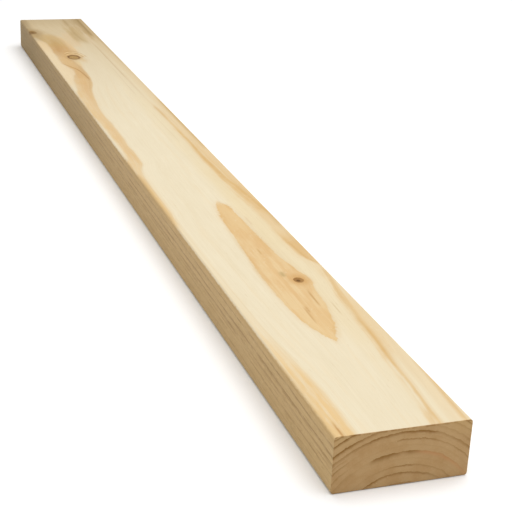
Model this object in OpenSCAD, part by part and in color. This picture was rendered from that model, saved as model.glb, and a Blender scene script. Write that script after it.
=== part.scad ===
// Softwood lumber plank: one straight length of nominal 2 x 4 dimension lumber,
// surfaced on four sides, with eased long edges and square-sawn ends.
//
// Frame: +X along the grain, +Y across the wide face, +Z up.
// Origin: centre of the wide face that the plank lies on.
// Units: millimetres.

/* [Section] */
// Dressed width of the wide face
plank_width = 88.9; // [38.1:0.1:286]
// Dressed thickness, the width of the narrow edge
plank_thickness = 38.1; // [19:0.1:89]

/* [Length] */
// Length along the grain, a 48 in cut
plank_length = 1219.2; // [300:0.1:4880]

/* [Edges] */
// Radius of the eased long edges
ease_radius = 2.0; // [0.5:0.1:3.2]

/* [Hidden] */
$fn = 64;

// Half sizes of the section, used to place the four eased corners
half_w = plank_width / 2;
half_t = plank_thickness / 2;

// A corner blank outside one eased edge: the square corner less its quarter round.
// sy and sz are the signs of the corner it is cut from.
module eased_corner(sy, sz) {
    scale_y = sy > 0 ? 0 : 1;
    scale_z = sz > 0 ? 0 : 1;
    translate([sy * half_w, sz * half_t])
        mirror([scale_y, 0])
            mirror([0, scale_z])
                difference() {
                    translate([-ease_radius, -ease_radius])
                        square([ease_radius + 1, ease_radius + 1]);
                    translate([-ease_radius, -ease_radius])
                        circle(r = ease_radius);
                }
}

// Dressed section: a rectangle with its four corners eased to a quarter round
module dressed_section() {
    difference() {
        square([plank_width, plank_thickness], center = true);
        for (sy = [-1, 1], sz = [-1, 1])
            eased_corner(sy, sz);
    }
}

// The plank: the dressed section run along the grain and cut square at both ends
module plank() {
    color([0.93, 0.87, 0.74])
        translate([-plank_length / 2, 0, half_t])
            rotate([90, 0, 90])
                linear_extrude(height = plank_length)
                    dressed_section();
}

plank();
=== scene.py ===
import math

import bpy
import numpy as np
from mathutils import Matrix, Vector


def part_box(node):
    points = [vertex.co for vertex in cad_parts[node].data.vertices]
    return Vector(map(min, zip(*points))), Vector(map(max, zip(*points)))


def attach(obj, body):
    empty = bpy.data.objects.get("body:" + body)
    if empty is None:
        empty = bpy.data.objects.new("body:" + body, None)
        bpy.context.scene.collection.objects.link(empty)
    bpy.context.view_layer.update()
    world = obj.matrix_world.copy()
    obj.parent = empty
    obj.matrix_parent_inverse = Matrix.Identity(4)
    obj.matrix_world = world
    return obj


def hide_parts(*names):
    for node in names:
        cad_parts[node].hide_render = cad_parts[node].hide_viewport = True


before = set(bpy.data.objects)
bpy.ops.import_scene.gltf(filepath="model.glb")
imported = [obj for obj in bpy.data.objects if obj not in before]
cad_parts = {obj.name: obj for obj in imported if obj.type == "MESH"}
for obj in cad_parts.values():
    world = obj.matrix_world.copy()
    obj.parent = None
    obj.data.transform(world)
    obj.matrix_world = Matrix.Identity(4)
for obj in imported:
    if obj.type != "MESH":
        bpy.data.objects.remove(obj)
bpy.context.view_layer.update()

LOW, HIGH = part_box("plank")

# The plank's own millimetres: x runs from the near end, y from the left edge, z up from the underside.
LEN = 1000 * (HIGH[0] - LOW[0])
WID = 1000 * (HIGH[1] - LOW[1])
THK = 1000 * (HIGH[2] - LOW[2])
EASE = 2.0  # radius of the eased long edges

# ---------------------------------------------------------------- arithmetic
# The wood is described once, as arithmetic on x, y and z. It is run twice: on
# arrays, for the relief of the mesh, and on shader sockets, for the colours.


class Arrays:
    """The wood's arithmetic on arrays of points."""

    def __init__(self):
        self.tables = {}

    def sqrt(self, a):
        return np.sqrt(np.maximum(a, 0))

    def exp(self, a):
        return np.exp(np.clip(a, -80, 80))

    def absolute(self, a):
        return np.abs(a)

    def least(self, a, b):
        return np.minimum(a, b)

    def most(self, a, b):
        return np.maximum(a, b)

    def fract(self, a):
        return a - np.floor(a)

    def sine(self, a):
        return np.sin(a)

    def angle(self, a, b):
        return np.arctan2(a, b)

    def step(self, low, high, a):
        t = np.clip((a - low) / (high - low), 0, 1)
        return t * t * (3 - 2 * t)

    def curve(self, a, points):
        xs, ys = [p[0] for p in points], [p[1] for p in points]
        key = tuple(points)
        if key not in self.tables:
            from_curve = curve_mapping(points)
            t = np.linspace(0, 1, 257)
            self.tables[key] = np.array(from_curve(t))
        table = self.tables[key]
        t = np.clip((a - xs[0]) / (xs[-1] - xs[0]), 0, 1)
        low, high = min(ys), max(ys)
        return low + (high - low) * np.interp(t, np.linspace(0, 1, 257), table)

    def noise(self, x, y, z, seed=0.0, detail=2.0, rough=0.5):
        """Smooth noise of about 0.5, not the shader's own but of the same size."""
        total, size, scale, weight = 0.0, 0.0, 1.0, 1.0
        for k in range(int(detail) + 1):
            total = total + weight * value_noise(x * scale, y * scale, z * scale, int(17 * seed) + 131 * k)
            size += weight
            scale, weight = scale * 2, weight * rough
        return total / size


def value_noise(x, y, z, seed):
    xi, yi, zi = np.floor(x), np.floor(y), np.floor(z)
    fx, fy, fz = x - xi, y - yi, z - zi
    fx, fy, fz = (f * f * (3 - 2 * f) for f in (fx, fy, fz))

    def corner(dx, dy, dz):
        n = (
            (xi + dx).astype(np.int64) * 73856093
            ^ (yi + dy).astype(np.int64) * 19349663
            ^ (zi + dz).astype(np.int64) * 83492791
            ^ (seed + 7) * 2654435761
        ) & 0xFFFFFFFF
        n = (n ^ (n >> 15)) * 2246822519 & 0xFFFFFFFF
        n = (n ^ (n >> 13)) * 3266489917 & 0xFFFFFFFF
        return ((n ^ (n >> 16)) & 0xFFFFFF) / 0xFFFFFF

    def mix(a, b, t):
        return a + (b - a) * t

    return mix(
        mix(mix(corner(0, 0, 0), corner(1, 0, 0), fx), mix(corner(0, 1, 0), corner(1, 1, 0), fx), fy),
        mix(mix(corner(0, 0, 1), corner(1, 0, 1), fx), mix(corner(0, 1, 1), corner(1, 1, 1), fx), fy),
        fz,
    )


def fill_curve(mapping, points):
    """Sets a curve's points, given in real units, on the unit square."""
    xs, ys = [p[0] for p in points], [p[1] for p in points]
    low, high = min(ys), max(ys)
    line = mapping.curves[0]
    while len(line.points) < len(points):
        line.points.new(0.5, 0.5)
    for spot, (x, y) in zip(line.points, points):
        spot.location = ((x - xs[0]) / (xs[-1] - xs[0]), (y - low) / (high - low))
        spot.handle_type = "AUTO_CLAMPED"
    mapping.use_clip = True
    mapping.update()
    return low, high


def curve_mapping(points):
    tree = bpy.data.node_groups.new("curve_table", "ShaderNodeTree")
    node = tree.nodes.new("ShaderNodeFloatCurve")
    fill_curve(node.mapping, points)
    node.mapping.initialize()
    out = lambda t: [node.mapping.evaluate(node.mapping.curves[0], float(v)) for v in t]
    t = np.linspace(0, 1, 257)
    table = out(t)
    bpy.data.node_groups.remove(tree)
    return lambda asked: np.interp(asked, t, table)


class Sock:
    """A shader socket that can be added, multiplied and so on."""

    def __init__(self, graph, out):
        self.graph, self.out = graph, out

    def __add__(self, b):
        return self.graph.math("ADD", self, b)

    __radd__ = __add__

    def __sub__(self, b):
        return self.graph.math("SUBTRACT", self, b)

    def __rsub__(self, b):
        return self.graph.math("SUBTRACT", b, self)

    def __mul__(self, b):
        return self.graph.math("MULTIPLY", self, b)

    __rmul__ = __mul__

    def __truediv__(self, b):
        return self.graph.math("DIVIDE", self, b)

    def __rtruediv__(self, b):
        return self.graph.math("DIVIDE", b, self)

    def __neg__(self):
        return self.graph.math("MULTIPLY", self, -1.0)


class Graph:
    """The wood's arithmetic on shader sockets.

    Cycles works the nodes out in the order they are made and has little room
    for values that wait. So every node is made after the ones it reads, and
    the same sum asked for twice is made only once."""

    def __init__(self, tree):
        self.tree, self.count, self.made = tree, 0, {}

    def once(self, key, make):
        if key not in self.made:
            self.made[key] = make()
        return self.made[key]

    def node(self, kind):
        n = self.tree.nodes.new(kind)
        n.location = (180 * (self.count // 12), -170 * (self.count % 12))
        n.hide = True
        self.count += 1
        return n

    def put(self, socket, value):
        if isinstance(value, Sock):
            self.tree.links.new(value.out, socket)
        else:
            socket.default_value = value

    def math(self, operation, *values):
        def make():
            n = self.node("ShaderNodeMath")
            n.operation = operation
            for socket, value in zip(n.inputs, values):
                self.put(socket, value)
            return Sock(self, n.outputs[0])
        return self.once((operation,) + values, make)

    def sqrt(self, a):
        return self.math("SQRT", self.math("MAXIMUM", a, 0.0))

    def exp(self, a):
        return self.math("EXPONENT", a)

    def absolute(self, a):
        return self.math("ABSOLUTE", a)

    def least(self, a, b):
        return self.math("MINIMUM", a, b)

    def most(self, a, b):
        return self.math("MAXIMUM", a, b)

    def fract(self, a):
        return self.math("FRACT", a)

    def sine(self, a):
        return self.math("SINE", a)

    def angle(self, a, b):
        return self.math("ARCTAN2", a, b)

    def step(self, low, high, a):
        return self.once(("step", low, high, a), lambda: self.new_step(low, high, a))

    def new_step(self, low, high, a):
        n = self.node("ShaderNodeMapRange")
        n.interpolation_type, n.clamp = "SMOOTHSTEP", False
        self.put(n.inputs["Value"], a)
        if isinstance(low, Sock) or isinstance(high, Sock) or low < high:
            self.put(n.inputs["From Min"], low)
            self.put(n.inputs["From Max"], high)
            n.inputs["To Min"].default_value, n.inputs["To Max"].default_value = 0.0, 1.0
        else:
            self.put(n.inputs["From Min"], high)
            self.put(n.inputs["From Max"], low)
            n.inputs["To Min"].default_value, n.inputs["To Max"].default_value = 1.0, 0.0
        return Sock(self, n.outputs["Result"])

    def curve(self, a, points):
        x0, x1 = points[0][0], points[-1][0]
        along = (a - x0) * (1.0 / (x1 - x0))

        def make():
            n = self.node("ShaderNodeFloatCurve")
            low, high = fill_curve(n.mapping, points)
            self.put(n.inputs["Value"], along)
            return Sock(self, n.outputs[0]) * (high - low) + low
        return self.once(("curve", along, tuple(points)), make)

    def noise(self, x, y, z, seed=0.0, detail=2.0, rough=0.5):
        return self.once(("noise", x, y, z, seed, detail, rough), lambda: self.new_noise(x, y, z, seed, detail, rough))

    def new_noise(self, x, y, z, seed, detail, rough):
        v = self.node("ShaderNodeCombineXYZ")
        for socket, value in zip(v.inputs, (x, y, z)):
            self.put(socket, value)
        n = self.node("ShaderNodeTexNoise")
        n.noise_dimensions = "4D" if seed else "3D"
        self.tree.links.new(v.outputs[0], n.inputs["Vector"])
        n.inputs["Scale"].default_value = 1.0
        n.inputs["Detail"].default_value = detail
        n.inputs["Roughness"].default_value = rough
        if seed:
            n.inputs["W"].default_value = seed
        return Sock(self, n.outputs["Fac"])

    def mix(self, share, a, b, blend="MIX"):
        n = self.node("ShaderNodeMix")
        n.data_type, n.blend_type = "RGBA", blend
        n.clamp_factor = True
        self.put(n.inputs[0], share)
        self.put(n.inputs[6], a)
        self.put(n.inputs[7], b)
        return Sock(self, n.outputs[2])


# ---------------------------------------------------------------- the log
# The board was cut beside the pith, which runs along under it at y 45, z -35.

PITH_Y, PITH_Z = 45.0, -35.0
TOP_R = THK - PITH_Z  # distance from the pith line up to the top face

# Heights, at each x, of three lines that the grain follows on the top face.
# The first is the edge of the darker band on the left, the second the crown of
# the board, the third the streak on the right. At the near end they lie at 15,
# 45 and 65 mm, and everything on them keeps that value, called p, all along.
LEFT_LINE = [
    (0, 15), (60, 14.5), (110, 11), (160, 8), (230, 6), (330, 4), (365, 3.6), (390, 5), (460, 5), (482, 5.6),
    (500, 7.2), (515, 10.6), (530, 13.8), (560, 14.4), (578, 13.2), (592, 13.6), (620, 14.8), (660, 14.2), (700, 13.2),
    (750, 16.0), (800, 21), (850, 30), (880, 32.2), (912, 32.0), (950, 33), (1000, 38.6), (1035, 40.6), (1065, 39.4),
    (1095, 35), (1130, 25.5), (1170, 18), (1220, 16),
]
MID_LINE = [
    (0, 45), (115, 49), (175, 49.5), (220, 50), (310, 50), (407, 51.5), (600, 52), (750, 54), (850, 57), (950, 60),
    (1030, 61), (1100, 58), (1220, 53),
]
RIGHT_LINE = [
    (0, 66.6), (8, 67.4), (25, 68.7), (50, 71), (75, 72.4), (100, 75), (125, 77.2), (150, 78.2), (175, 79.7), (200, 81.8),
    (225, 85), (260, 87.5), (355, 88), (380, 86), (400, 84.3), (420, 82.4), (440, 81.0), (470, 77.8), (500, 77.2),
    (540, 76), (580, 76.4), (620, 75.6), (700, 75), (775, 73), (950, 72.4), (1020, 72), (1100, 70), (1220, 68),
]
# How far the crown's rings bulge up at each x. The spindle on the top face is
# where one of them stands above it.
BULGE = [(0, 0), (60, 0.7), (115, 1.7), (160, 3.4), (215, 4.2), (310, 3.2), (407, 1.7), (520, 0.6), (800, 0.2), (1220, -0.6)]
# Ring boundaries, as distances from the pith, and their number counted outwards.
RINGS = [
    (0, 0), (20, 3), (30, 5), (36.5, 6), (43.5, 7), (48.3, 8), (53, 9), (57.7, 10), (61.8, 11), (65.8, 12), (68.2, 13),
    (70.9, 14), (75.0, 15), (80.2, 16), (84, 17), (88, 18), (91.5, 19), (95, 20), (101, 22),
]
# How dark each ring's late wood is, and how much of its width it takes, by the
# number of the ring.
RING_STRENGTH = [
    (0, 0.5), (5, 0.5), (6, 0.9), (7, 0.5), (8, 0.10), (9, 0.8), (10, 0.12), (11, 0.45), (12, 0.10), (13, 0.9),
    (14, 0.9), (15, 1.0), (16, 0.8), (17, 0.6), (18, 0.7), (22, 0.7),
]
RING_LATE = [
    (0, 0.3), (5, 0.3), (6, 0.34), (7, 0.36), (8, 0.35), (9, 0.86), (10, 0.38), (11, 0.42), (12, 0.5), (13, 0.90),
    (14, 0.55), (15, 0.42), (16, 0.45), (18, 0.4), (22, 0.4),
]
# Rings that come and go across the board: their number, and how dark they are from edge to edge.
ARCS = (
    (6, [(0, 0.3), (20, 0.45), (26, 1.0), (50, 1.0), (60, 0.6), (72, 0.35), (89, 0.3)]),
    (7, [(0, 0.5), (18, 0.12), (30, 0.25), (38, 0.55), (41.5, 1.05), (48, 1.0), (53, 0.5), (75, 0.4), (89, 0.3)]),
    (9, [(0, 0.35), (12, 0.25), (20, 0.08), (25, 0.6), (31, 1.0), (46, 1.0), (58, 0.8), (80, 0.7), (89, 0.4)]),
    (11, [(0, 0.9), (9, 0.4), (18, 0.05), (38, 0.08), (42, 0.75), (60, 0.7), (75, 0.45), (80, 0.6), (89, 0.7)]),
    (13, [(0, 0.9), (6, 0.6), (12, 0.6), (20, 0.8), (27, 1.0), (52, 1.1), (62, 0.9), (70, 0.5), (80, 0.7), (89, 0.75)]),
    (14, [(0, 1.1), (14, 1.0), (24, 0.7), (32, 0.25), (60, 0.2), (75, 0.25), (89, 0.45)]),
    (15, [(0, 1.2), (12, 1.2), (20, 0.9), (30, 0.3), (60, 0.2), (89, 0.4)]),
)

# Knots: place on the top face, half length along and half width across, in mm,
# and how far the branch slants along the board between the pith and the top.
KNOT_A = (224.2, 60.4, 4.4, 3.4, 16.0)
KNOT_B = (974.5, 32.0, 12.6, 8.3, -40.0)
KNOT_C = (1130.0, 3.4, 9.5, 5.2, -34.0)
KNOTS = (KNOT_A, KNOT_B, KNOT_C)


def knot_space(K, knot, x, y, z):
    """Where a point lies in a knot: across, along, and its distance from the knot's heart, which is 1 at its rim."""
    kx, ky, half_x, half_y, slant = knot
    t = (z - PITH_Z) * (1.0 / TOP_R)
    u = (x - (kx - slant) - slant * t) * (1.0 / half_x)
    v = (y - PITH_Y - (ky - PITH_Y) * t) * (1.0 / half_y)
    size = K.most(t, 0.2)
    u, v = u / size, v / size
    return u, v, K.sqrt(u * u + v * v)


def grain(K, x, y, z):
    """The grain at a point: p, y as it would be on a straight board, and ring, the distance from the pith."""
    # The grain parts round a knot and closes behind it.
    for knot in KNOTS:
        u, v, _ = knot_space(K, knot, x, y, z)
        far = u * u * 0.10 + v * v * 0.55
        y = y - v * K.exp(-far) * (0.9 * knot[3])
    left, mid, right = K.curve(x, LEFT_LINE), K.curve(x, MID_LINE), K.curve(x, RIGHT_LINE)
    p = (
        K.least(y, left) * (15.0 / left)
        + K.least(K.most(y - left, 0.0), mid - left) * (30.0 / (mid - left))
        + K.least(K.most(y - mid, 0.0), right - mid) * (20.0 / (right - mid))
        + K.most(y - right, 0.0) * 1.15
    )
    # Slow wander, then a finer one.
    wander = K.noise(x * 0.004, y * 0.03, z * 0.03, 3.1, 2.0, 0.5) - 0.5
    fine = K.noise(x * 0.018, y * 0.16, z * 0.16, 5.7, 3.0, 0.62) - 0.5
    dp, dz = p - PITH_Y, z - PITH_Z
    away = K.sqrt(dp * dp + dz * dz)
    crown = K.exp(dp * dp * (-1.0 / 324.0))
    ring = away - K.curve(x, BULGE) * crown + wander * 1.8 + fine * 1.9
    # The saw leaves the rings a little ragged on the ends.
    sawn = K.most(K.step(2.6, 0.6, x), K.step(LEN - 2.6, LEN - 0.6, x))
    ring = ring + sawn * (K.noise(y * 0.42, z * 0.42, x * 0.02, 11.3, 3.0, 0.7) - 0.5) * 1.7
    return p, away, ring


def ring_shade(K, x, p, ring):
    """0 in a ring's pale early wood, up to 1 in its dark late wood, which ends at once where the next ring begins."""
    count = K.curve(ring, RINGS)
    at = K.fract(count)
    number = count - at
    strength = K.curve(number, RING_STRENGTH)
    for n, across in ARCS:
        here = K.step(0.45, 0.15, K.absolute(number - n))
        strength = strength + here * (K.curve(p, across) - strength)
    # The weak rings show more towards the left edge, where the wood grew slower.
    strength = strength + K.step(12.0, 2.0, p) * K.step(58.5, 60.0, ring) * K.most(0.55 - strength, 0.0)
    # Each ring is darker here and paler there.
    uneven = K.noise(p * 0.09, number * 3.7, x * 0.009, 2.4, 2.0, 0.6)
    strength = strength * K.most(0.25 + 1.5 * uneven, 0.0)
    late = K.curve(number, RING_LATE)
    body = K.step(1.0 - late * 1.25, 0.97, at)
    return body * (0.45 + body * 0.55) * K.step(1.0, 0.95, at) * strength


# ---------------------------------------------------------------- the mesh


def stations():
    """Places along the plank: close at the ends and the knots, where the surface does something."""
    spots = [(0.0, 0.45), (4.0, 1.5), (20.0, 4.4)]
    for knot, near, pitch in ((KNOT_A, 9, 0.9), (KNOT_B, 22, 1.5), (KNOT_C, 26, 2.2)):
        spots += [(knot[0] - near - 18, 4.4), (knot[0] - near, pitch), (knot[0] + near, pitch), (knot[0] + near + 18, 4.4)]
    spots += [(LEN - 20, 4.4), (LEN - 4.0, 1.5), (LEN, 0.45)]
    spots.sort()
    where = [s[0] for s in spots]
    pitch = [s[1] for s in spots]
    xs, x = [0.0], 0.0
    while True:
        x += float(np.interp(x, where, pitch))
        if x >= LEN - 0.2:
            break
        xs.append(x)
    xs.append(LEN)
    return np.array(xs)


def side(length, pitch, arc):
    """Places across one face of the section, from the middle of one eased edge to the middle of the next: distance along the face, and how far it turns away."""
    flat = np.linspace(EASE, length - EASE, int(round((length - 2 * EASE) / pitch)) + 1)
    turn = np.radians(np.linspace(45, 0, arc + 1))[:-1]
    at = np.concatenate([EASE - EASE * np.sin(turn), flat, (length - EASE) + EASE * np.sin(turn[::-1])])
    off = np.concatenate([EASE - EASE * np.cos(turn), 0 * flat, EASE - EASE * np.cos(turn[::-1])])
    return at, off


def plank_mesh():
    xs = stations()
    wide_at, wide_off = side(WID, 1.08, 4)
    thin_at, thin_off = side(THK, 1.08, 4)
    n_wide, n_thin = len(wide_at), len(thin_at)
    # The section, once round from the bottom left corner: bottom, right, top, left.
    loop = [(wide_at[i], wide_off[i]) for i in range(n_wide - 1)]
    loop += [(WID - thin_off[i], thin_at[i]) for i in range(n_thin - 1)]
    loop += [(WID - wide_at[i], THK - wide_off[i]) for i in range(n_wide - 1)]
    loop += [(thin_off[i], THK - thin_at[i]) for i in range(n_thin - 1)]
    loop = np.array(loop)
    n_loop = len(loop)
    # Outward directions of the loop's points.
    core = np.stack([np.clip(loop[:, 0], EASE, WID - EASE), np.clip(loop[:, 1], EASE, THK - EASE)], 1)
    out = loop - core
    out /= np.linalg.norm(out, axis=1)[:, None]

    points, normals, places = [], [], []
    for x in xs:
        points.append(np.column_stack([np.full(n_loop, x), loop]))
        normals.append(np.column_stack([np.zeros(n_loop), out]))
    points, normals = np.concatenate(points), np.concatenate(normals)
    faces = []
    for i in range(len(xs) - 1):
        a, b = i * n_loop, (i + 1) * n_loop
        for j in range(n_loop):
            k = (j + 1) % n_loop
            faces.append((a + j, b + j, b + k, a + k))

    # Each end is a grid whose rim is the loop.
    def rim(i, j):
        """The loop's number for a grid point on the rim, i across and j up."""
        if j == 0:
            return i % n_loop
        if i == n_wide - 1:
            return n_wide - 1 + j
        if j == n_thin - 1:
            return (n_wide - 1) + (n_thin - 1) + (n_wide - 1 - i)
        return (2 * (n_wide - 1) + (n_thin - 1) + (n_thin - 1 - j)) % n_loop

    extra_points, extra_normals = [], []
    base = len(points)
    for end, (x, start, nx) in enumerate(((0.0, 0, -1.0), (LEN, (len(xs) - 1) * n_loop, 1.0))):
        grid = np.zeros((n_wide, n_thin), int)
        for i in range(n_wide):
            for j in range(n_thin):
                if i in (0, n_wide - 1) or j in (0, n_thin - 1):
                    grid[i, j] = start + rim(i, j)
                else:
                    s, t = i / (n_wide - 1), j / (n_thin - 1)
                    bottom, top = loop[rim(i, 0)], loop[rim(i, n_thin - 1)]
                    left, right = loop[rim(0, j)], loop[rim(n_wide - 1, j)]
                    # Coons patch on the real spacing of the points.
                    ws = (wide_at[i] - wide_at[0]) / (wide_at[-1] - wide_at[0])
                    wt = (thin_at[j] - thin_at[0]) / (thin_at[-1] - thin_at[0])
                    c00, c10 = loop[rim(0, 0)], loop[rim(n_wide - 1, 0)]
                    c01, c11 = loop[rim(0, n_thin - 1)], loop[rim(n_wide - 1, n_thin - 1)]
                    yz = (
                        (1 - wt) * bottom + wt * top + (1 - ws) * left + ws * right
                        - ((1 - ws) * (1 - wt) * c00 + ws * (1 - wt) * c10 + (1 - ws) * wt * c01 + ws * wt * c11)
                    )
                    grid[i, j] = base + len(extra_points)
                    extra_points.append((x, yz[0], yz[1]))
                    extra_normals.append((nx, 0, 0))
        for i in range(n_wide - 1):
            for j in range(n_thin - 1):
                quad = (grid[i, j], grid[i + 1, j], grid[i + 1, j + 1], grid[i, j + 1])
                faces.append(quad if end else quad[::-1])
    points = np.concatenate([points, extra_points])
    normals = np.concatenate([normals, extra_normals])
    return xs, n_loop, points, normals, faces


def relief(points, normals):
    """How far the surface lies under the CAD faces, in mm: planed long faces, sawn ends, sunk knots."""
    K = Arrays()
    x, y, z = points.T
    p, away, ring = grain(K, x, y, z)
    shade = ring_shade(K, x, p, ring)
    ends = np.abs(normals[:, 0]) > 0.5
    # Planed faces: late wood stands a little proud of the early wood, over a slow unevenness.
    slow = K.noise(x * 0.006, y * 0.02, z * 0.02, 9.3, 1.0)
    long_face = 0.02 + 0.07 * slow + 0.045 * (1 - shade) + 0.03 * K.noise(x * 0.03, y * 0.8, z * 0.8, 2.2, 1.0)
    # Sawn ends: the blade's ripple, and softer early wood torn a little deeper.
    saw = 0.5 + 0.5 * np.sin((z + 0.0021 * (y - 120) ** 2) * 2 * math.pi / 2.6 + 2.0 * K.noise(y * 0.05, z * 0.05, x, 4.0, 1.0))
    end_face = 0.03 + 0.06 * saw + 0.07 * (1 - shade) + 0.10 * K.noise(x, y * 0.7, z * 0.7, 6.1, 2.0)
    depth = np.where(ends, end_face, long_face)
    # A knot's heart has shrunk and sits lower, inside a faint rim.
    for knot, deep in ((KNOT_A, 0.45), (KNOT_B, 0.40), (KNOT_C, 0.45)):
        u, v, rho = knot_space(K, knot, x, y, z)
        depth = depth + deep * K.step(1.15, 0.55, rho) * (0.75 + 0.5 * K.noise(u * 2.2, v * 2.2, z * 0, 8.0, 2.0))
        depth = depth + 0.10 * K.step(2.2, 1.1, rho)
    return depth


def build_plank():
    xs, n_loop, points, normals, faces = plank_mesh()
    depth = relief(points, normals)
    # The rim of each end belongs to both faces: it is worn in a little both ways.
    moved = points - normals * depth[:, None]
    for row, sign in ((0, 1.0), (len(xs) - 1, -1.0)):
        rim = slice(row * n_loop, (row + 1) * n_loop)
        near = slice((row + int(sign)) * n_loop, (row + int(sign) + 1) * n_loop)
        px, py, pz = points[rim].T
        K = Arrays()
        worn = 0.10 + 0.22 * K.noise(px, py * 0.45, pz * 0.45, 1.4, 2.0)
        moved[rim, 0] += sign * worn
        moved[rim] -= normals[rim] * (0.08 + 0.12 * K.noise(px, py * 0.6, pz * 0.6, 7.4, 2.0))[:, None]
    metres = np.column_stack([HIGH[0] - moved[:, 0] / 1000, LOW[1] + moved[:, 1] / 1000, LOW[2] + moved[:, 2] / 1000])
    # x runs from +X to -X, so each face is turned to keep it facing outwards.
    faces = [f[::-1] for f in faces]
    mesh = bpy.data.meshes.new("plank_wood")
    mesh.from_pydata(metres.tolist(), [], [tuple(int(v) for v in f) for f in faces])
    mesh.validate()
    mesh.update()
    obj = bpy.data.objects.new("plank_wood", mesh)
    bpy.context.scene.collection.objects.link(obj)
    # Sharp where the sawn ends meet the long faces, smooth elsewhere.
    mesh.polygons.foreach_set("use_smooth", np.ones(len(mesh.polygons), bool))
    n_side = (len(xs) - 1) * n_loop
    end_edges = set()
    for row in (0, len(xs) - 1):
        for j in range(n_loop):
            a, b = row * n_loop + j, row * n_loop + (j + 1) % n_loop
            end_edges.add((min(a, b), max(a, b)))
    sharp = np.zeros(len(mesh.edges), bool)
    for e in mesh.edges:
        a, b = e.vertices
        if (min(a, b), max(a, b)) in end_edges:
            sharp[e.index] = True
    flag = mesh.attributes.get("sharp_edge") or mesh.attributes.new("sharp_edge", "BOOLEAN", "EDGE")
    flag.data.foreach_set("value", sharp)
    unwrap(mesh, xs, n_loop, points)
    return obj


# Rows of the unwrapping: the long faces in the order of the section (bottom,
# right, top, left) and the two ends beside each other, as starts and heights.
ROWS = ((0.182, 0.234), (0.422, 0.124), (0.552, 0.312), (0.870, 0.124))
END_ROW = ((0.005, 0.004, 0.402, 0.172), (0.420, 0.004, 0.402, 0.172))


def unwrap(mesh, xs, n_loop, points):
    """Lay the plank out flat: a strip for each long face, with more room at the knots and the ends, and the two sawn ends."""
    room = np.interp(xs, [0, 5, 12, 190, 205, 242, 256, 935, 950, 1000, 1012, LEN - 12, LEN - 5, LEN], [2.2, 2.2, 0.7, 0.7, 2.0, 2.0, 0.7, 0.7, 2.0, 2.0, 0.7, 0.7, 2.2, 2.2])
    along = np.concatenate([[0.0], np.cumsum(np.diff(xs) * (room[1:] + room[:-1]) / 2)])
    along = 0.004 + 0.992 * along / along[-1]
    ring = points[:n_loop, 1:]
    steps = np.linalg.norm(np.roll(ring, -1, axis=0) - ring, axis=1)
    around = np.concatenate([[0.0], np.cumsum(steps)])
    # The section's four corners: the loop's points in the middle of each eased edge.
    marks = [0]
    for corner in ((WID, 0), (WID, THK), (0, THK)):
        marks.append(int(np.argmin(np.hypot(ring[:, 0] - corner[0], ring[:, 1] - corner[1]))))
    marks.append(n_loop)

    verts = np.empty(len(mesh.loops), int)
    mesh.loops.foreach_get("vertex_index", verts)
    verts = verts.reshape(-1, 4)
    n_side = (len(xs) - 1) * n_loop
    n_end = (len(verts) - n_side) // 2
    uv = np.zeros((len(verts), 4, 2))
    j = np.arange(n_side) % n_loop
    at = verts[:n_side] % n_loop
    at[(j == n_loop - 1)[:, None] & (at == 0)] = n_loop
    strip = np.searchsorted(marks, j, side="right") - 1
    lo, hi = around[np.array(marks)[strip]], around[np.array(marks)[strip + 1]]
    start, high = np.array([r[0] for r in ROWS])[strip], np.array([r[1] for r in ROWS])[strip]
    uv[:n_side, :, 0] = along[verts[:n_side] // n_loop]
    uv[:n_side, :, 1] = start[:, None] + high[:, None] * (around[at] - lo[:, None]) / (hi - lo)[:, None]
    for end in (0, 1):
        part = slice(n_side + end * n_end, n_side + (end + 1) * n_end)
        across = points[verts[part], 1] / WID
        u0, v0, wide, tall = END_ROW[end]
        uv[part, :, 0] = u0 + wide * ((1 - across) if end else across)
        uv[part, :, 1] = v0 + tall * points[verts[part], 2] / THK
    layer = mesh.uv_layers.new(name="OFBake")
    layer.data.foreach_set("uv", uv.reshape(-1))


plank = build_plank()

# ---------------------------------------------------------------- the wood


def tone(r, g, b, lit=1.0):
    """A colour as it should look on screen under this much light, as the surface's own colour."""
    def linear(v):
        v /= 255
        return v / 12.92 if v <= 0.04045 else ((v + 0.055) / 1.055) ** 2.4
    return tuple(min(max(linear(v) - SHEEN, 0.004) / lit, 0.95) for v in (r, g, b)) + (1.0,)


SHEEN = 0.012  # what the surface's own gloss adds to every colour
TOP_LIT, SIDE_LIT = 1.27, 0.90


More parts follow.
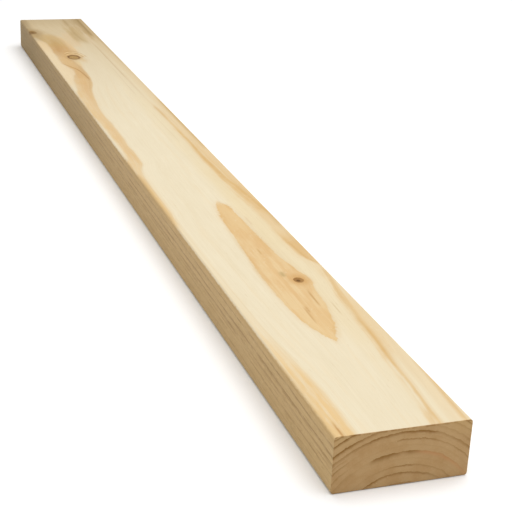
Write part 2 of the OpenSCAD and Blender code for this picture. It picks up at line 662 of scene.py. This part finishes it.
def wood_material():
    mat = bpy.data.materials.new("softwood")
    mat.use_nodes = True
    tree = mat.node_tree
    tree.nodes.clear()
    K = Graph(tree)
    coords = K.node("ShaderNodeTexCoord")
    parts = K.node("ShaderNodeSeparateXYZ")
    tree.links.new(coords.outputs["Object"], parts.inputs[0])
    x = HIGH[0] * 1000 - Sock(K, parts.outputs[0]) * 1000
    y = Sock(K, parts.outputs[1]) * 1000 - LOW[1] * 1000
    z = Sock(K, parts.outputs[2]) * 1000 - LOW[2] * 1000
    p, away, ring = grain(K, x, y, z)
    shade = ring_shade(K, x, p, ring)

    # p carried down along the rings, so that a streak on top goes into the wood as a ring does.
    over = K.sqrt(away * away - TOP_R * TOP_R)
    right_half = K.step(PITH_Y - 0.01, PITH_Y + 0.01, p)
    q = PITH_Y + over * (right_half * 2.0 - 1.0)

    def T(r, g, b):
        return tone(r, g, b, TOP_LIT)

    def band(value, low, soft_low, high, soft_high):
        """1 between low and high, fading over the soft widths outside them."""
        return K.step(low - soft_low, low, value) * K.step(high + soft_high, high, value)

    def line(value, middle, width):
        d = (value - middle) * (1.0 / width)
        return K.exp(d * d * -1.0)

    # Fibres: long fine streaks that follow the grain.
    fibre = K.noise(x * 0.012, p * 1.5, z * 1.5, 1.3, 3.0, 0.65) - 0.5
    hair = K.noise(x * 0.045, p * 3.4, z * 3.4, 4.9, 1.0, 0.6) - 0.5
    streak = K.noise(x * 0.004, p * 0.28, z * 0.28, 2.9, 2.0, 0.6) - 0.5
    blotch = K.noise(x * 0.012, p * 0.06, z * 0.06, 6.6, 3.0, 0.55) - 0.5
    cloud = K.noise(x * 0.028, p * 0.16, z * 0.16, 8.3, 3.0, 0.6) - 0.5

    depth = THK - z  # below the top face
    on_top = K.step(2.4, 0.4, depth)

    def soft_line(value, middle, width, much, rgb, under):
        return K.mix(line(value, middle, width) * much, under, T(*rgb))

    # ---- the top face
    # painted shade: far darkens the wood's pale tones towards the far end, standing in for the light falling off there
    far = K.curve(x, [(0, 0), (600, 0), (750, 0.10), (900, 0.30), (1000, 0.50), (1100, 0.80), (1220, 1.08)])
    col = K.mix(far, T(241, 227, 196), T(219, 197, 157))
    col = K.mix(K.step(0.0, 0.24, streak + cloud * 0.6) * 0.45, col, K.mix(far, T(238, 218, 180), T(208, 184, 142)))
    # faint rings in the pale wood
    col = K.mix(shade * 0.20, col, K.mix(far, T(231, 206, 158), T(200, 176, 132)))

    # left band: soft and blotchy near the near end, with a firmer edge further along
    lower = K.curve(x, [(0, -6), (480, -6), (545, 3.0), (575, 4.5), (620, 4.0), (680, 2.0), (750, 0.6), (812, 6.0), (850, 9.5), (878, 14.5), (902, 18.8), (916, 16.5), (932, 13.8), (948, 11.5), (1000, 12.0), (1045, 12.6), (1062, 11.4), (1078, 8.0), (1095, 4.0), (1115, -4), (1220, -6)])
    much = K.curve(x, [(0, 0.90), (30, 0.95), (75, 0.80), (100, 0.55), (130, 0.30), (160, 0.16), (300, 0.12), (350, 0.45), (385, 1.0), (460, 1.0), (500, 0.80), (530, 0.92), (600, 0.98), (700, 0.90), (760, 0.85), (860, 1.0), (1075, 1.0), (1100, 0.90), (1122, 0.34), (1145, 0.10), (1220, 0.10)])
    soft = K.curve(x, [(0, 3.6), (50, 5.0), (150, 5.0), (330, 5.0), (390, 6.0), (470, 6.0), (505, 3.0), (530, 2.0), (640, 2.6), (760, 2.0), (880, 1.4), (960, 3.0), (1220, 6.0)])
    edge = q + cloud * K.curve(x, [(0, 11.0), (300, 9.0), (420, 6.0), (520, 4.0), (900, 3.5), (1220, 7.0)])
    in_band = K.step(15.2 + soft * 0.5, 15.2 - soft, edge) * K.step(lower - 3.6, lower + 1.8, y + cloud * 5.0)
    # the band's tone grows darker from x 700 to 1000
    band_deepens = K.curve(x, [(0, 0), (700, 0), (760, 0.05), (820, 0.15), (860, 0.26), (885, 0.62), (905, 0.62), (930, 0.48), (955, 0.45), (975, 0.62), (1000, 1.0), (1220, 1.0)])
    band_tone = K.mix(band_deepens, K.mix(K.step(380, 560, x), T(236, 202, 147), T(232, 199, 147)), K.mix(K.step(1020, 1065, x), T(216, 175, 117), T(213, 179, 120)))
    patchy = K.curve(x, [(0, 2.6), (300, 2.4), (450, 1.2), (1220, 1.0)])
    gold = K.step(22, 4, x) * K.step(9.5, 6.5, y + cloud * 4.0)
    col = K.mix(gold * 0.75 * on_top, col, T(222, 184, 126))
    col = K.mix(in_band * much * K.most(0.90 + (streak + cloud) * patchy, 0.0), col, band_tone)
    # it is deepest along the left edge between the spindle and the middle
    col = K.mix(K.step(5.2, 0.6, y + cloud * 4.0) * K.curve(x, [(0, 0), (345, 0), (380, 0.6), (470, 0.65), (495, 0.1), (510, 0), (1220, 0)]), col, T(220, 182, 122))
    # rosy cream wood below it, along the edge of the board
    rosy = K.step(lower + 1.0, lower - 3.5, y) * K.curve(x, [(0, 0), (800, 0), (850, 0.75), (1060, 0.8), (1100, 0), (1220, 0)])
    col = K.mix(rosy, col, K.mix(K.step(980, 1050, x), T(243, 219, 178), T(241, 211, 163)))
    # a tawny lip along its upper edge, and its dark heart
    col = K.mix(line(edge, 13.6, 1.2) * K.curve(x, [(0, 0.05), (380, 0.10), (450, 0.25), (700, 0.20), (820, 0.45), (1080, 0.35), (1130, 0), (1220, 0)]), col, K.mix(K.step(680, 1010, x), T(226, 188, 130), T(196, 156, 100)))
    heart = K.curve(x, [(0, 0), (500, 0), (560, 0.3), (700, 0.20), (760, 0.25), (810, 0.50), (860, 0.28), (920, 0.15), (960, 0.0), (1000, 0.4), (1040, 0.8), (1075, 0.6), (1110, 0.1), (1220, 0)])
    heart_at = K.curve(x, [(0, 9), (400, 12.5), (560, 9), (800, 10.8), (860, 9.6), (1000, 8.2), (1060, 8.6), (1220, 8)])
    col = K.mix(line(q + cloud * 3.0, heart_at, 2.6) * heart * 0.85, col, K.mix(K.step(850, 1000, x), T(221, 176, 119), K.mix(K.step(1020, 1060, x), T(199, 156, 100), T(199, 161, 103))))
    # beyond the knot its upper side fades out through a warm pale strip
    upper_y = K.curve(x, [(985, 41), (1020, 39.6), (1060, 38.2), (1085, 36), (1120, 32)])
    col = K.mix(line(y + cloud * 3.0, upper_y, 4.2) * K.curve(x, [(0, 0), (988, 0), (1006, 0.5), (1022, 0.75), (1050, 0.62), (1095, 0.5), (1128, 0), (1220, 0)]) * on_top, col, T(238, 205, 154))
    col = K.mix(band(x, 1050, 26, 1105, 30) * band(y + cloud * 6.0, 43, 5, 52, 6) * 0.55 * on_top, col, T(230, 200, 155))
    # the dark thread beside it: a short one at the near end, and a long one that crosses the band before the knot
    col = soft_line(q, 5.4, 0.8, K.curve(x, [(0, 0.7), (9, 0.9), (15, 0.2), (26, 0), (1220, 0)]), (196, 148, 88), col)
    thread_y = K.curve(x, [(835, 29.2), (855, 28.6), (878, 27.4), (905, 24.2), (922, 19.0), (940, 12.0), (955, 8.0)])
    col = K.mix(line(y + cloud * 1.5, thread_y, 0.9) * K.curve(x, [(0, 0), (838, 0), (862, 0.8), (915, 0.9), (935, 0.6), (950, 0), (1220, 0)]) * on_top, col, T(188, 142, 84))

    # the margin on the right is yellower
    wide = K.curve(x, [(0, 0.15), (60, 0.2), (100, 0.3), (140, 0.6), (260, 0.65), (330, 0.95), (480, 0.85), (560, 0.55), (700, 0.55), (800, 0.3), (1220, 0.2)])
    col = K.mix(K.step(54, 66, y + cloud * 8.0) * wide * on_top, col, K.mix(far, T(239, 220, 180), T(211, 190, 148)))
    margin = K.curve(x, [(0, 0.32), (60, 0.40), (120, 0.50), (160, 0.60), (220, 0.35), (290, 0.60), (330, 0.75), (400, 0.95), (540, 0.90), (600, 0.75), (680, 0.55), (800, 0.40), (1220, 0.35)])
    margin_from = K.curve(x, [(0, 69), (100, 72), (200, 76), (300, 72), (600, 73), (1220, 71)])
    col = K.mix(K.step(margin_from, margin_from + 9.0, y + (streak + cloud) * 10.0) * margin * on_top, col, K.mix(far, T(233, 203, 155), T(205, 176, 127)))
    # right streak: a ragged yellow-orange band, which leaves the board by the spindle and comes back beyond it
    ragged = q + cloud * K.curve(x, [(0, 4.0), (230, 4.5), (400, 3.4), (560, 2.2), (1220, 1.6)])
    spread = K.curve(x, [(0, 4.4), (12, 3.6), (30, 2.8), (75, 2.9), (100, 3.7), (150, 3.2), (200, 2.2), (240, 1.7), (360, 1.7), (382, 3.2), (440, 4.4), (470, 3.8), (540, 3.0), (600, 2.2), (720, 1.9), (1220, 1.4)])
    spread = spread * K.most(1.15 + (streak + cloud) * 2.0, 0.6)
    near_streak = K.curve(x, [(0, 0.80), (25, 0.78), (50, 0.85), (75, 0.90), (100, 0.95), (125, 0.90), (150, 0.70), (200, 0.66), (225, 0.62), (242, 0.3), (258, 0), (350, 0), (364, 0.8), (385, 0.9), (440, 1.0), (470, 0.88), (540, 0.90), (580, 0.85), (620, 0.70), (660, 0.40), (700, 0.60), (725, 0.3), (750, 0.1), (800, 0.22), (960, 0.30), (1060, 0.40), (1130, 0.1), (1220, 0.05)])
    streak_tone = K.mix(K.step(620, 830, x), T(227, 189, 129), T(208, 174, 132))
    reach = (ragged - 65.0) / spread
    col = K.mix(K.exp(reach * reach * -1.0) * near_streak * K.most(0.95 + streak * 1.8, 0.0), col, streak_tone)
    col = K.mix(line(reach, -0.05, 0.42) * near_streak * K.most(0.20 + cloud * 2.2, 0.0), col, K.mix(K.step(620, 830, x), T(214, 172, 108), T(200, 164, 120)))
    # a thin one outside it, which runs off the right edge, and one that comes and goes along that edge
    thin_y = K.curve(x, [(0, 84.4), (25, 85.2), (50, 87.0), (90, 89.0)])
    col = K.mix(line(y + cloud * 2.0, thin_y, 1.7) * K.curve(x, [(0, 0.85), (50, 0.85), (80, 0.6), (110, 0), (1220, 0)]) * on_top, col, T(229, 194, 140))
    col = K.mix(line(y + cloud * 2.0, 87.4, 2.7) * K.curve(x, [(0, 0), (330, 0), (355, 0.6), (375, 0.3), (400, 0), (540, 0), (575, 0.75), (640, 0.9), (700, 1.0), (750, 0.7), (790, 0.25), (900, 0.25), (1220, 0.3)]) * on_top, col, T(211, 176, 117))
    # the second streak, which comes in from the right edge by the spindle
    second_y = K.curve(x, [(236, 89), (250, 86.0), (272, 79.6), (288, 78.6), (306, 77.6), (330, 77.0)])
    second = K.curve(x, [(0, 0), (236, 0), (252, 0.5), (274, 0.98), (292, 0.95), (306, 0.65), (322, 0.2), (340, 0), (1220, 0)])
    col = K.mix(K.step(-2.4, 1.6, y + cloud * 4.0 - second_y) * second * K.most(0.9 + streak * 1.6, 0.0) * on_top, col, T(226, 187, 128))
    col = K.mix(line(y + cloud * 3.0, second_y + 1.6, 1.1) * second * 0.4 * on_top, col, T(212, 168, 104))
    # thin lines further out
    for middle, width_here, rgb, shape in (
        (69.8, 0.8, (226, 190, 140), [(0, 0), (635, 0), (655, 0.4), (705, 0.35), (730, 0), (1220, 0)]),
        (57.0, 0.9, (222, 200, 166), [(0, 0), (770, 0), (800, 0.5), (900, 0.45), (930, 0), (1220, 0)]),
        (56.0, 0.6, (226, 206, 168), [(0, 0), (575, 0), (600, 0.45), (690, 0.4), (710, 0), (1220, 0)]),
        (49.0, 0.6, (226, 206, 168), [(0, 0), (575, 0), (600, 0.35), (690, 0.3), (710, 0), (1220, 0)]),
        (50.5, 0.5, (222, 190, 150), [(0, 0), (340, 0), (350, 0.45), (362, 0.4), (370, 0), (1220, 0)]),
        (65.0, 0.9, (208, 182, 140), [(0, 0), (840, 0), (880, 0.55), (1010, 0.6), (1050, 0.2), (1220, 0)]),
    ):
        col = soft_line(ragged, middle, width_here, K.curve(x, shape), rgb, col)
    # the far right corner, brown and streaky
    corner = K.step(1045, 1112, x) * K.step(47, 56, y + cloud * 14.0)
    col = K.mix(corner * K.most(0.45 + (streak + cloud) * 2.2, 0.0) * K.step(1260, 1140, x) * on_top, col, T(201, 170, 120))
    tan = band(x, 1085, 45, 1120, 70) * band(y + cloud * 8.0, 55, 8, 64, 9)
    col = K.mix(tan * 0.55 * on_top, col, T(206, 177, 124))
    col = K.mix(line(y + cloud * 3.0, 71.6, 3.0) * band(x, 1055, 25, 1095, 25) * 0.6 * on_top, col, T(226, 203, 166))
    col = K.mix(line(y + cloud * 3.0, 77.2, 3.4) * K.curve(x, [(0, 0), (1100, 0), (1125, 0.35), (1220, 0.30)]) * on_top, col, T(178, 148, 100))
    stain_x, stain_y = (x - 1102.0) * (1.0 / 26.0), (y - 5.5) * (1.0 / 7.5)
    col = K.mix(K.exp(stain_x * stain_x * -1.0 - stain_y * stain_y) * K.most(0.5 + cloud * 1.0, 0.0) * on_top, col, T(170, 144, 102))
    col = K.mix(line(y, 1.5, 6.0) * K.curve(x, [(0, 0), (1138, 0), (1158, 0.5), (1200, 0.45), (1220, 0.4)]) * on_top, col, T(170, 144, 102))
    # painted shade: the last stretch of the far end darkens further as the light falls off, deepest along the left edge
    far_end_shade = K.step(1120, 1230, x) * K.step(12, 2, y) + K.step(1150, 1230, x) * 0.45
    col = K.mix(K.least(far_end_shade, 1.0) * 0.6 * on_top, col, T(172, 146, 104))
    col = K.mix(K.step(1150, 1200, x) * line(y, 76.0, 7.0) * 0.5 * on_top, col, T(184, 156, 108))
    stripe_y = K.curve(x, [(1040, 67.5), (1062, 65.6), (1085, 61.6), (1130, 60.2), (1220, 61)])
    col = K.mix(line(y + cloud * 3.0, stripe_y, 2.2) * K.curve(x, [(0, 0), (1035, 0), (1070, 0.35), (1115, 0.42), (1148, 0.25), (1180, 0.65), (1220, 0.75)]) * on_top, col, T(182, 152, 104))
    col = K.mix(line(y + cloud * 3.0, 56.0, 2.6) * K.curve(x, [(0, 0), (1055, 0), (1080, 0.22), (1115, 0.22), (1140, 0), (1220, 0)]) * on_top, col, T(186, 156, 108))
    col = K.mix(line(y + cloud * 2.0, 80.8, 2.2) * K.curve(x, [(0, 0), (1080, 0), (1108, 0.7), (1150, 0.9), (1220, 0.95)]) * on_top, col, T(170, 142, 92))
    col = K.mix(line(y, 86.2, 1.5) * K.curve(x, [(0, 0), (850, 0), (960, 0.3), (1090, 0.5), (1220, 0.6)]) * on_top, col, T(192, 162, 112))
    col = K.mix(line(y, 70.4, 2.6) * line(x, 1094, 14.0) * 0.3 * on_top, col, T(222, 198, 156))

    # the spindle
    up = K.curve(x, [(112, 47.0), (118, 49.2), (126, 51), (136, 54.8), (146, 58.0), (158, 60.4), (170, 63.0), (185, 65), (200, 65.8), (212, 67.6), (221, 69.6), (228, 69.4), (238, 66.6), (252, 64.6), (275, 61.6), (300, 60.2), (340, 59.4), (375, 58.6), (390, 57.6), (400, 55), (410, 50.0)])
    down = K.curve(x, [(112, 51.0), (118, 48.6), (123, 46.4), (127, 44.8), (132, 42.8), (139, 40.8), (148, 38.6), (161, 36.4), (180, 35.1), (205, 34.8), (230, 35), (250, 35.9), (270, 37.1), (300, 39), (325, 40.4), (350, 41.7), (375, 44), (390, 46), (400, 48.6), (410, 52.0)])
    rag = (K.noise(x * 0.20, y * 0.45, 0.0, 7.7, 3.0, 0.65) - 0.5) * K.curve(x, [(100, 7.0), (140, 6.0), (165, 2.6), (340, 2.4), (375, 5.0), (420, 8.0)])
    inside = K.least(y + rag - down, up - y + rag)
    ends = K.step(111, 117, x) * K.step(416, 392, x)
    spindle = K.step(-0.35, 0.85, inside) * ends * K.step(2.6, 0.8, depth)
    spindle_tone = K.mix(K.step(-0.12, 0.14, streak + cloud * 0.8), T(237, 206, 155), T(229, 190, 134))
    spindle_tone = K.mix(K.step(200, 130, x) * 0.5, spindle_tone, T(238, 205, 150))
    spindle_tone = K.mix(K.step(280, 360, x) * 0.45, spindle_tone, T(232, 194, 134))
    col = K.mix(spindle * 0.97, col, spindle_tone)
    rim = K.exp(K.absolute(inside - 0.4) * -0.65) * ends * K.step(2.6, 0.8, depth)
    col = K.mix(rim * K.most(0.5 + cloud * 2.0, 0.0), col, T(224, 183, 122))
    # dashes inside it
    for cx, cy, half, width_here, rgb, much_here in (
        (190, 59.4, 13, 0.8, (200, 156, 96), 0.8),
        (163, 46.2, 13, 0.8, (204, 160, 102), 0.7),
        (172, 48.2, 5, 0.7, (200, 156, 98), 0.65),
        (285, 49.8, 6, 0.8, (204, 162, 100), 0.55),
        (237, 52.2, 5.0, 2.2, (190, 162, 108), 0.7),
        (170, 69.0, 10, 0.5, (216, 190, 146), 0.6),
    ):
        along = (x - cx) * (1.0 / half)
        col = K.mix(K.exp(along * along * along * along * -1.0) * line(y + rag * 0.15, cy + (x - cx) * 0.03, width_here) * much_here * on_top, col, T(*rgb))
    # resin canals: short fine dashes along the grain
    canal = K.step(0.68, 0.76, K.noise(x * 0.11, p * 2.1, z * 2.1, 5.2, 1.0, 0.5))
    col = K.mix(canal * 0.34, col, K.mix(0.5, col, T(196, 156, 100)))

    # ---- the sides, the ends and the underside are darker, and their rings stand out; the sides' darker tone is partly the wood's and partly painted shade, added to what the light gives them
    # painted shade: the sides grow darker towards the far end, standing in for the light falling off there
    side_far_shade = K.curve(x, [(0, 0.0), (500, 0.12), (800, 0.55), (1000, 0.75), (1150, 1.08), (1220, 1.15)])
    side_pale = K.mix(side_far_shade, tone(186, 157, 111, SIDE_LIT), tone(147, 123, 82, SIDE_LIT))
    side_dark = K.mix(side_far_shade, tone(154, 123, 76, SIDE_LIT), tone(132, 107, 67, SIDE_LIT))
    thready = K.noise(x * 0.06, y * 0.8, z * 0.8, 3.8, 3.0, 0.72) - 0.5
    broken = K.noise(x * 0.05, y * 0.35, z * 0.35, 2.6, 3.0, 0.75)
    side_col = K.mix(K.least(K.most(shade * K.most(broken * 3.0 - 0.75, 0.10) + (streak * 0.6 + thready) * 1.8, 0.0), 1.0), side_pale, side_dark)
    side_col = K.mix(K.step(0.05, 0.20, thready + hair * 0.6) * 0.35, side_col, K.mix(side_far_shade, tone(199, 171, 126, SIDE_LIT), tone(160, 137, 98, SIDE_LIT)))
    fleck = K.noise(x * 0.20, y * 1.1, z * 1.1, 5.6, 3.0, 0.65)
    side_col = K.mix(K.step(0.55, 0.70, fleck) * 0.50, side_col, K.mix(side_far_shade, tone(204, 177, 131, SIDE_LIT), tone(164, 140, 100, SIDE_LIT)))
    side_col = K.mix(K.step(0.43, 0.32, fleck) * 0.45, side_col, K.mix(side_far_shade, tone(154, 124, 77, SIDE_LIT), tone(130, 106, 66, SIDE_LIT)))
    side_col = K.mix(K.step(30, 38, z) * 0.45, side_col, K.mix(side_far_shade, tone(190, 156, 101, SIDE_LIT), tone(162, 135, 88, SIDE_LIT)))
    # the underside is planed like the top, a little darker, with the rings' hearts showing as long arches
    below = K.mix(K.least(K.most(shade * 0.9 + (streak + cloud) * 1.2, 0.0), 1.0), K.mix(far, T(229, 208, 168), T(206, 183, 142)), K.mix(far, T(207, 172, 115), T(184, 152, 100)))
    side_col = K.mix(K.step(2.1, 0.7, z), side_col, below)
    end_pale, end_dark = tone(173, 142, 101, SIDE_LIT), tone(132, 98, 56, SIDE_LIT)
    end_pale = K.mix(K.step(-0.1, 0.2, K.noise(x * 0.05, y * 0.09, z * 0.09, 2.2, 3.0, 0.6) - 0.5), end_pale, tone(167, 134, 92, SIDE_LIT))
    corners = K.step(24, 40, z) * K.most(K.step(20, 2, y), K.step(62, 86, y))
    end_pale = K.mix(corners * 0.55, end_pale, tone(187, 157, 109, SIDE_LIT))
    warm = K.step(50, 60, y) * line(ring, 56.2, 2.0)
    end_dark = K.mix(warm, end_dark, tone(172, 122, 80, SIDE_LIT))
    end_col = K.mix(K.least(shade * 0.92, 1.0), end_pale, end_dark)
    pores = K.noise(x * 0.3, y * 1.8, z * 1.8, 8.8, 2.0, 0.7)
    end_col = K.mix(K.step(0.56, 0.70, pores) * 0.20, end_col, tone(128, 98, 60, SIDE_LIT))
    specks = K.noise(x * 0.5, y * 0.85, z * 0.85, 1.9, 1.0, 0.5)
    end_col = K.mix(K.step(0.72, 0.78, specks) * 0.5, end_col, tone(204, 178, 134, SIDE_LIT))
    lip = K.step(1.7, 0.3, depth) * K.step(0.40, 0.62, K.noise(x * 0.1, y * 0.22, z * 0.1, 6.2, 2.0, 0.7))
    end_col = K.mix(lip * 0.65, end_col, tone(128, 92, 50, SIDE_LIT))
    in_end = K.most(K.step(0.9, 0.35, x), K.step(LEN - 0.9, LEN - 0.35, x))
    # the eased edges are worn unevenly, so the two tones meet in a ragged line
    nibble = (K.noise(x * 0.16, y * 0.3, z * 0.3, 9.1, 3.0, 0.7) - 0.5) * 2.6
    off_top = K.step(0.5, 1.9, depth + nibble * K.step(3.0, 1.0, depth))
    col = K.mix(off_top, col, side_col)
    fuzz = K.step(0.60, 0.70, K.noise(x * 0.22, y * 0.4, z * 0.9, 7.1, 2.0, 0.6)) * line(depth, 0.9, 1.0)
    col = K.mix(fuzz * 0.5, col, K.mix(far, T(240, 222, 184), T(206, 186, 146)))
    col = K.mix(in_end, col, end_col)

    # ---- knots: a heart, a darker rim that is darkest on one side, and a stain that fades into the wood
    for knot, heart_tone, rim_tone, halo, reach, heart_in, rim_out in (
        (KNOT_A, (108, 74, 34), (164, 120, 66), (216, 168, 104), 3.6, 0.60, 1.30),
        (KNOT_B, (192, 154, 92), (124, 84, 38), (208, 170, 114), 1.7, 0.84, 1.10),
        (KNOT_C, (122, 88, 46), (150, 116, 66), (178, 146, 96), 3.8, 0.55, 1.25),
    ):
        u, v, rho = knot_space(K, knot, x, y, z)
        rho = rho + (K.noise(u * 1.3, v * 1.3, z * 0.02, 3.3, 3.0, 0.6) - 0.5) * 0.45
        rings_in = K.sine(rho * 20.0) * 0.5 + 0.5
        stain = K.step(reach, 1.0, rho)
        col = K.mix(stain * K.most(0.75 + cloud * 1.5, 0.0), col, T(*halo))
        if knot is KNOT_B:
            # The grain that closes behind it: pale and tan lines, one beyond the other.
            shell = K.sqrt((u + 0.35) * (u + 0.35) * 0.42 + v * v)
            behind = K.step(-0.3, 0.4, u) * K.step(1.02, 1.14, rho) * K.step(-1.3, -0.3, v)
            for at, much_here, rgb in ((1.26, 1.0, (242, 210, 156)), (1.48, 0.75, (184, 140, 84)), (1.70, 0.95, (242, 212, 160)), (1.94, 0.45, (194, 152, 98))):
                col = K.mix(behind * line(shell + cloud * 0.5, at, 0.095) * much_here, col, T(*rgb))
            col = K.mix(line(x, 957.0, 13.0) * line(y, 40.5, 4.6) * 0.6 * on_top, col, T(222, 190, 138))
            col = K.mix(K.least(line(x, 938.0, 15.0), 1.0) * line(y + (x - 938.0) * 0.09, 31.2, 2.4) * 0.86 * on_top, col, T(238, 208, 158))
            # Cream wood lies against its near side.
            col = K.mix(K.exp((u + 2.2) * (u + 2.2) * -0.9) * K.exp((v - 0.15) * (v - 0.15) * -9.0) * 0.6 * on_top, col, T(232, 208, 160))
        col = K.mix(K.step(rim_out, rim_out - 0.26, rho) * K.most(0.92 + u * 0.06 - v * 0.10, 0.0), col, T(*rim_tone))
        col = K.mix(K.step(heart_in, heart_in - 0.28, rho) * (0.95 - rings_in * 0.30), col, T(*heart_tone))

    # ---- fibres over everything
    dim = fibre * 0.17 + hair * 0.10 + streak * 0.05 + cloud * 0.08 + blotch * 0.06
    shades = [1.0 + dim * much_here for much_here in (0.75, 1.0, 1.5)]
    shadeful = K.node("ShaderNodeCombineColor")
    for socket, value in zip(shadeful.inputs, shades):
        K.put(socket, value)
    col = K.mix(1.0, col, Sock(K, shadeful.outputs[0]), "MULTIPLY")

    surface = K.node("ShaderNodeBsdfPrincipled")
    K.put(surface.inputs["Base Color"], col)
    rough = 0.62 - shade * 0.08 + fibre * 0.12 + in_end * 0.15
    K.put(surface.inputs["Roughness"], rough)
    surface.inputs["IOR"].default_value = 1.45
    surface.inputs["Specular IOR Level"].default_value = 0.22
    # fine relief: fibres, ring edges and the blade's scratches on the ends
    height = fibre * 0.05 + shade * 0.03 + K.noise(x * 0.06, y * 2.6, z * 2.6, 9.9, 2.0, 0.6) * 0.05 + in_end * pores * 0.10
    bump = K.node("ShaderNodeBump")
    bump.inputs["Strength"].default_value = 0.6
    bump.inputs["Distance"].default_value = 0.001
    K.put(bump.inputs["Height"], height)
    tree.links.new(bump.outputs["Normal"], surface.inputs["Normal"])
    out = K.node("ShaderNodeOutputMaterial")
    tree.links.new(surface.outputs[0], out.inputs["Surface"])
    return mat


plank.data.materials.append(wood_material())
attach(plank, "root")
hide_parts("plank")

# ---------------------------------------------------------------- the studio


def floor():
    """A wide pale floor just under the plank."""
    size, steps = 14.0, 24
    mesh = bpy.data.meshes.new("studio_floor")
    spots = np.linspace(-size, size, steps + 1)
    verts = [(float(a), float(b), -0.0003) for a in spots for b in spots]
    n = steps + 1
    mesh.from_pydata(verts, [], [(i * n + j, (i + 1) * n + j, (i + 1) * n + j + 1, i * n + j + 1) for i in range(steps) for j in range(steps)])
    obj = bpy.data.objects.new("studio_floor", mesh)
    bpy.context.scene.collection.objects.link(obj)
    mat = bpy.data.materials.new("pale_floor")
    mat.use_nodes = True
    shader = mat.node_tree.nodes["Principled BSDF"]
    shader.inputs["Base Color"].default_value = (0.93, 0.93, 0.925, 1)
    shader.inputs["Roughness"].default_value = 0.9
    shader.inputs["Specular IOR Level"].default_value = 0.1
    mesh.materials.append(mat)


floor()

world = bpy.data.worlds.new("studio")
bpy.context.scene.world = world
world.use_nodes = True
world.node_tree.nodes["Background"].inputs[0].default_value = (1.0, 1.0, 1.0, 1)
world.node_tree.nodes["Background"].inputs[1].default_value = 0.55


def softbox(name, place, aim, size, power, colour=(1, 1, 1)):
    light = bpy.data.lights.new(name, "AREA")
    light.shape = "RECTANGLE"
    light.size, light.size_y = size
    light.energy, light.color = power, colour
    obj = bpy.data.objects.new(name, light)
    obj.location = place
    obj.rotation_euler = (Vector(aim) - Vector(place)).to_track_quat("-Z", "Y").to_euler()
    bpy.context.scene.collection.objects.link(obj)


softbox("overhead", (0.35, 0.35, 2.4), (0.15, 0.0, 0), (3.0, 2.4), 62.0)

# ---------------------------------------------------------------- the camera

camera = bpy.data.objects.new("camera", bpy.data.cameras.new("camera"))
bpy.context.scene.collection.objects.link(camera)
right = Vector((0.31457538, 0.94821562, 0.04392572))
down = Vector((0.36315078, -0.07746451, -0.92850458))
ahead = Vector((-0.87701987, 0.30803634, -0.36871367))
turn = Matrix((right, -down, -ahead)).transposed().to_4x4()
camera.matrix_world = Matrix.Translation((1.178268, -0.297041, 0.393398)) @ turn
camera.data.sensor_width = 36.0
camera.data.lens = 87.053
camera.data.clip_start, camera.data.clip_end = 0.01, 100.0
bpy.context.scene.camera = camera
bpy.context.scene.view_settings.view_transform = "Standard"
bpy.context.scene.view_settings.look = "None"
